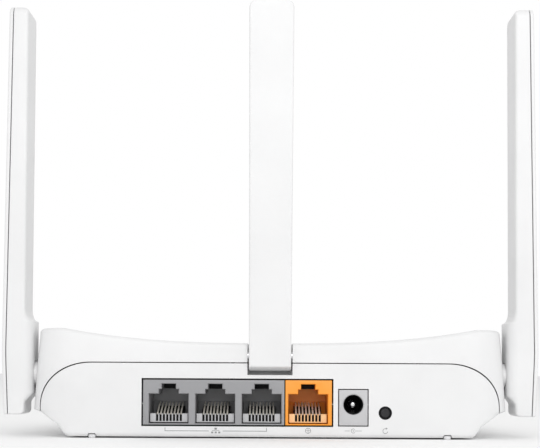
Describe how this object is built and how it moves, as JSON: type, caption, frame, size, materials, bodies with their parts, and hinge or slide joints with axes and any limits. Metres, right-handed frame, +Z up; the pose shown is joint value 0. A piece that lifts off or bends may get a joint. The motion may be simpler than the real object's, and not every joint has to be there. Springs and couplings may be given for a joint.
{
  "type": "wireless router",
  "caption": "Low desktop wireless router with folding blade antennas at its sides and rear, network sockets, a power jack and a recessed reset button.",
  "frame": {"origin": "centre of the overall box at the level of the feet's tips", "axes": "+Z up; -Y is the rear, with the sockets; +X is to the right as seen from behind"},
  "size_m": [0.163, 0.1006, 0.1333],
  "materials": {
    "housing_white": "fine moulded satin",
    "socket_grey": "moulded, satin",
    "socket_orange": "moulded, satin",
    "power_grey": "moulded, satin",
    "contact_gold": "gold flash on sprung wires",
    "button_dark": "moulded, satin",
    "foot_rubber": "matt",
    "board_laminate": "solder mask",
    "clear_plastic": "polished",
    "cable_jacket": "extruded jacket",
    "copper_foil": "etched foil on a strip",
    "ferrite": "sintered, matt",
    "component_black": "moulded resin",
    "bright_steel": "plated"
  },
  "bodies": {
    "housing": {"bottom_case": "housing_white", "case_screw_1": "bright_steel", "case_screw_2": "bright_steel", "case_screw_3": "bright_steel", "case_screw_4": "bright_steel", "clock_crystal": "bright_steel", "dc_jack_housing": "power_grey", "dc_jack_leaf_contact": "bright_steel", "dc_jack_pin": "bright_steel", "flash_chip": "component_black", "foot_1": "foot_rubber", "foot_2": "foot_rubber", "foot_3": "foot_rubber", "foot_4": "foot_rubber", "lan_contact_insert_1": "contact_gold", "lan_contact_insert_2": "contact_gold", "lan_contact_insert_3": "contact_gold", "lan_jack_block": "socket_grey", "lan_transformer": "component_black", "left_antenna_board_lead": "cable_jacket", "light_pipe": "clear_plastic", "main_board": "board_laminate", "memory_chip": "component_black", "power_capacitor_1": "bright_steel", "power_capacitor_2": "bright_steel", "power_inductor": "ferrite", "processor_chip": "component_black", "rear_antenna_board_lead": "cable_jacket", "reset_switch_body": "component_black", "right_antenna_board_lead": "cable_jacket", "status_led": "clear_plastic", "top_cover": "housing_white", "wan_contact_insert": "contact_gold", "wan_jack": "socket_orange", "wan_transformer": "component_black"},
    "left_antenna": {"left_antenna_coax": "cable_jacket", "left_antenna_inner_shell": "housing_white", "left_antenna_outer_shell": "housing_white", "left_antenna_pivot_tube": "housing_white", "left_antenna_radiator": "copper_foil", "left_antenna_retaining_clip": "bright_steel"},
    "right_antenna": {"right_antenna_coax": "cable_jacket", "right_antenna_inner_shell": "housing_white", "right_antenna_outer_shell": "housing_white", "right_antenna_pivot_tube": "housing_white", "right_antenna_radiator": "copper_foil", "right_antenna_retaining_clip": "bright_steel"},
    "rear_antenna": {"rear_antenna_coax": "cable_jacket", "rear_antenna_hinge_pin": "bright_steel", "rear_antenna_hinge_tube": "bright_steel", "rear_antenna_inner_shell": "housing_white", "rear_antenna_outer_shell": "housing_white", "rear_antenna_radiator": "copper_foil"},
    "reset_button": {"reset_button": "button_dark"}
  },
  "joints": [
    {"name": "left_antenna_pivot", "type": "hinge", "parent": "housing", "child": "left_antenna", "pos_m": [-0.0721, -0.03815, 0.0192], "axis": [1, 0, 0], "range_deg": [-90, 90]},
    {"name": "right_antenna_pivot", "type": "hinge", "parent": "housing", "child": "right_antenna", "pos_m": [0.0721, -0.03815, 0.0192], "axis": [1, 0, 0], "range_deg": [-90, 90]},
    {"name": "rear_antenna_pivot", "type": "hinge", "parent": "housing", "child": "rear_antenna", "pos_m": [0, -0.04575, 0.0249], "axis": [1, 0, 0], "range_deg": [0, 90]},
    {"name": "reset_button_press", "type": "slide", "parent": "housing", "child": "reset_button", "axis": [0, 1, 0], "range_m": [0, 0.0005], "stiffness_N_per_m": 300}
  ]
}
